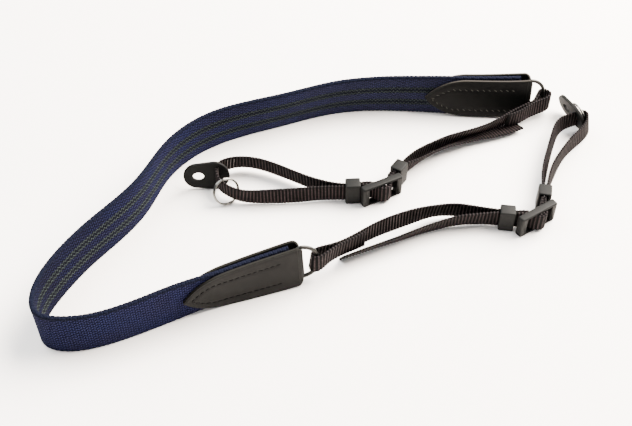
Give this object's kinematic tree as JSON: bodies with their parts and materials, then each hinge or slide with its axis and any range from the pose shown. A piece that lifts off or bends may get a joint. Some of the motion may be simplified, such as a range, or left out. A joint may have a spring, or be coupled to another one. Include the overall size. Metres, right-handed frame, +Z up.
{
  "type": "camera strap",
  "caption": "Coiled camera strap on its edge: wide navy webbing with pointed leather tabs, narrow adjuster webbing with buckles and keepers, lug protectors and split rings.",
  "frame": {"origin": "middle of the footprint's box, on the ground", "axes": "+X along the coil's length, towards the end with the front lug protector; +Y from the coil's front leg to its back leg; +Z up, across the webbing's width"},
  "size_m": [0.2856, 0.1736, 0.0261],
  "materials": {
    "webbing": "matte, woven",
    "leather": "smooth, matte",
    "strip": "matte, ribbed weave",
    "ring_steel": "satin, dark",
    "plastic": "matte, moulded",
    "protector": "matte",
    "nickel": "bright"
  },
  "bodies": {
    "root": {"shoulder_webbing": "webbing", "leather_tab_front": "leather", "leather_tab_back": "leather", "adjuster_strip_front": "strip", "adjuster_strip_back": "strip", "oval_ring_front": "ring_steel", "oval_ring_back": "ring_steel", "keeper_front_1": "plastic", "keeper_front_2": "plastic", "keeper_back_1": "plastic", "keeper_back_2": "plastic", "buckle_front": "plastic", "buckle_back": "plastic", "lug_protector_front": "protector", "lug_protector_back": "protector", "split_ring_front": "nickel", "split_ring_back": "nickel"}
  },
  "joints": []
}
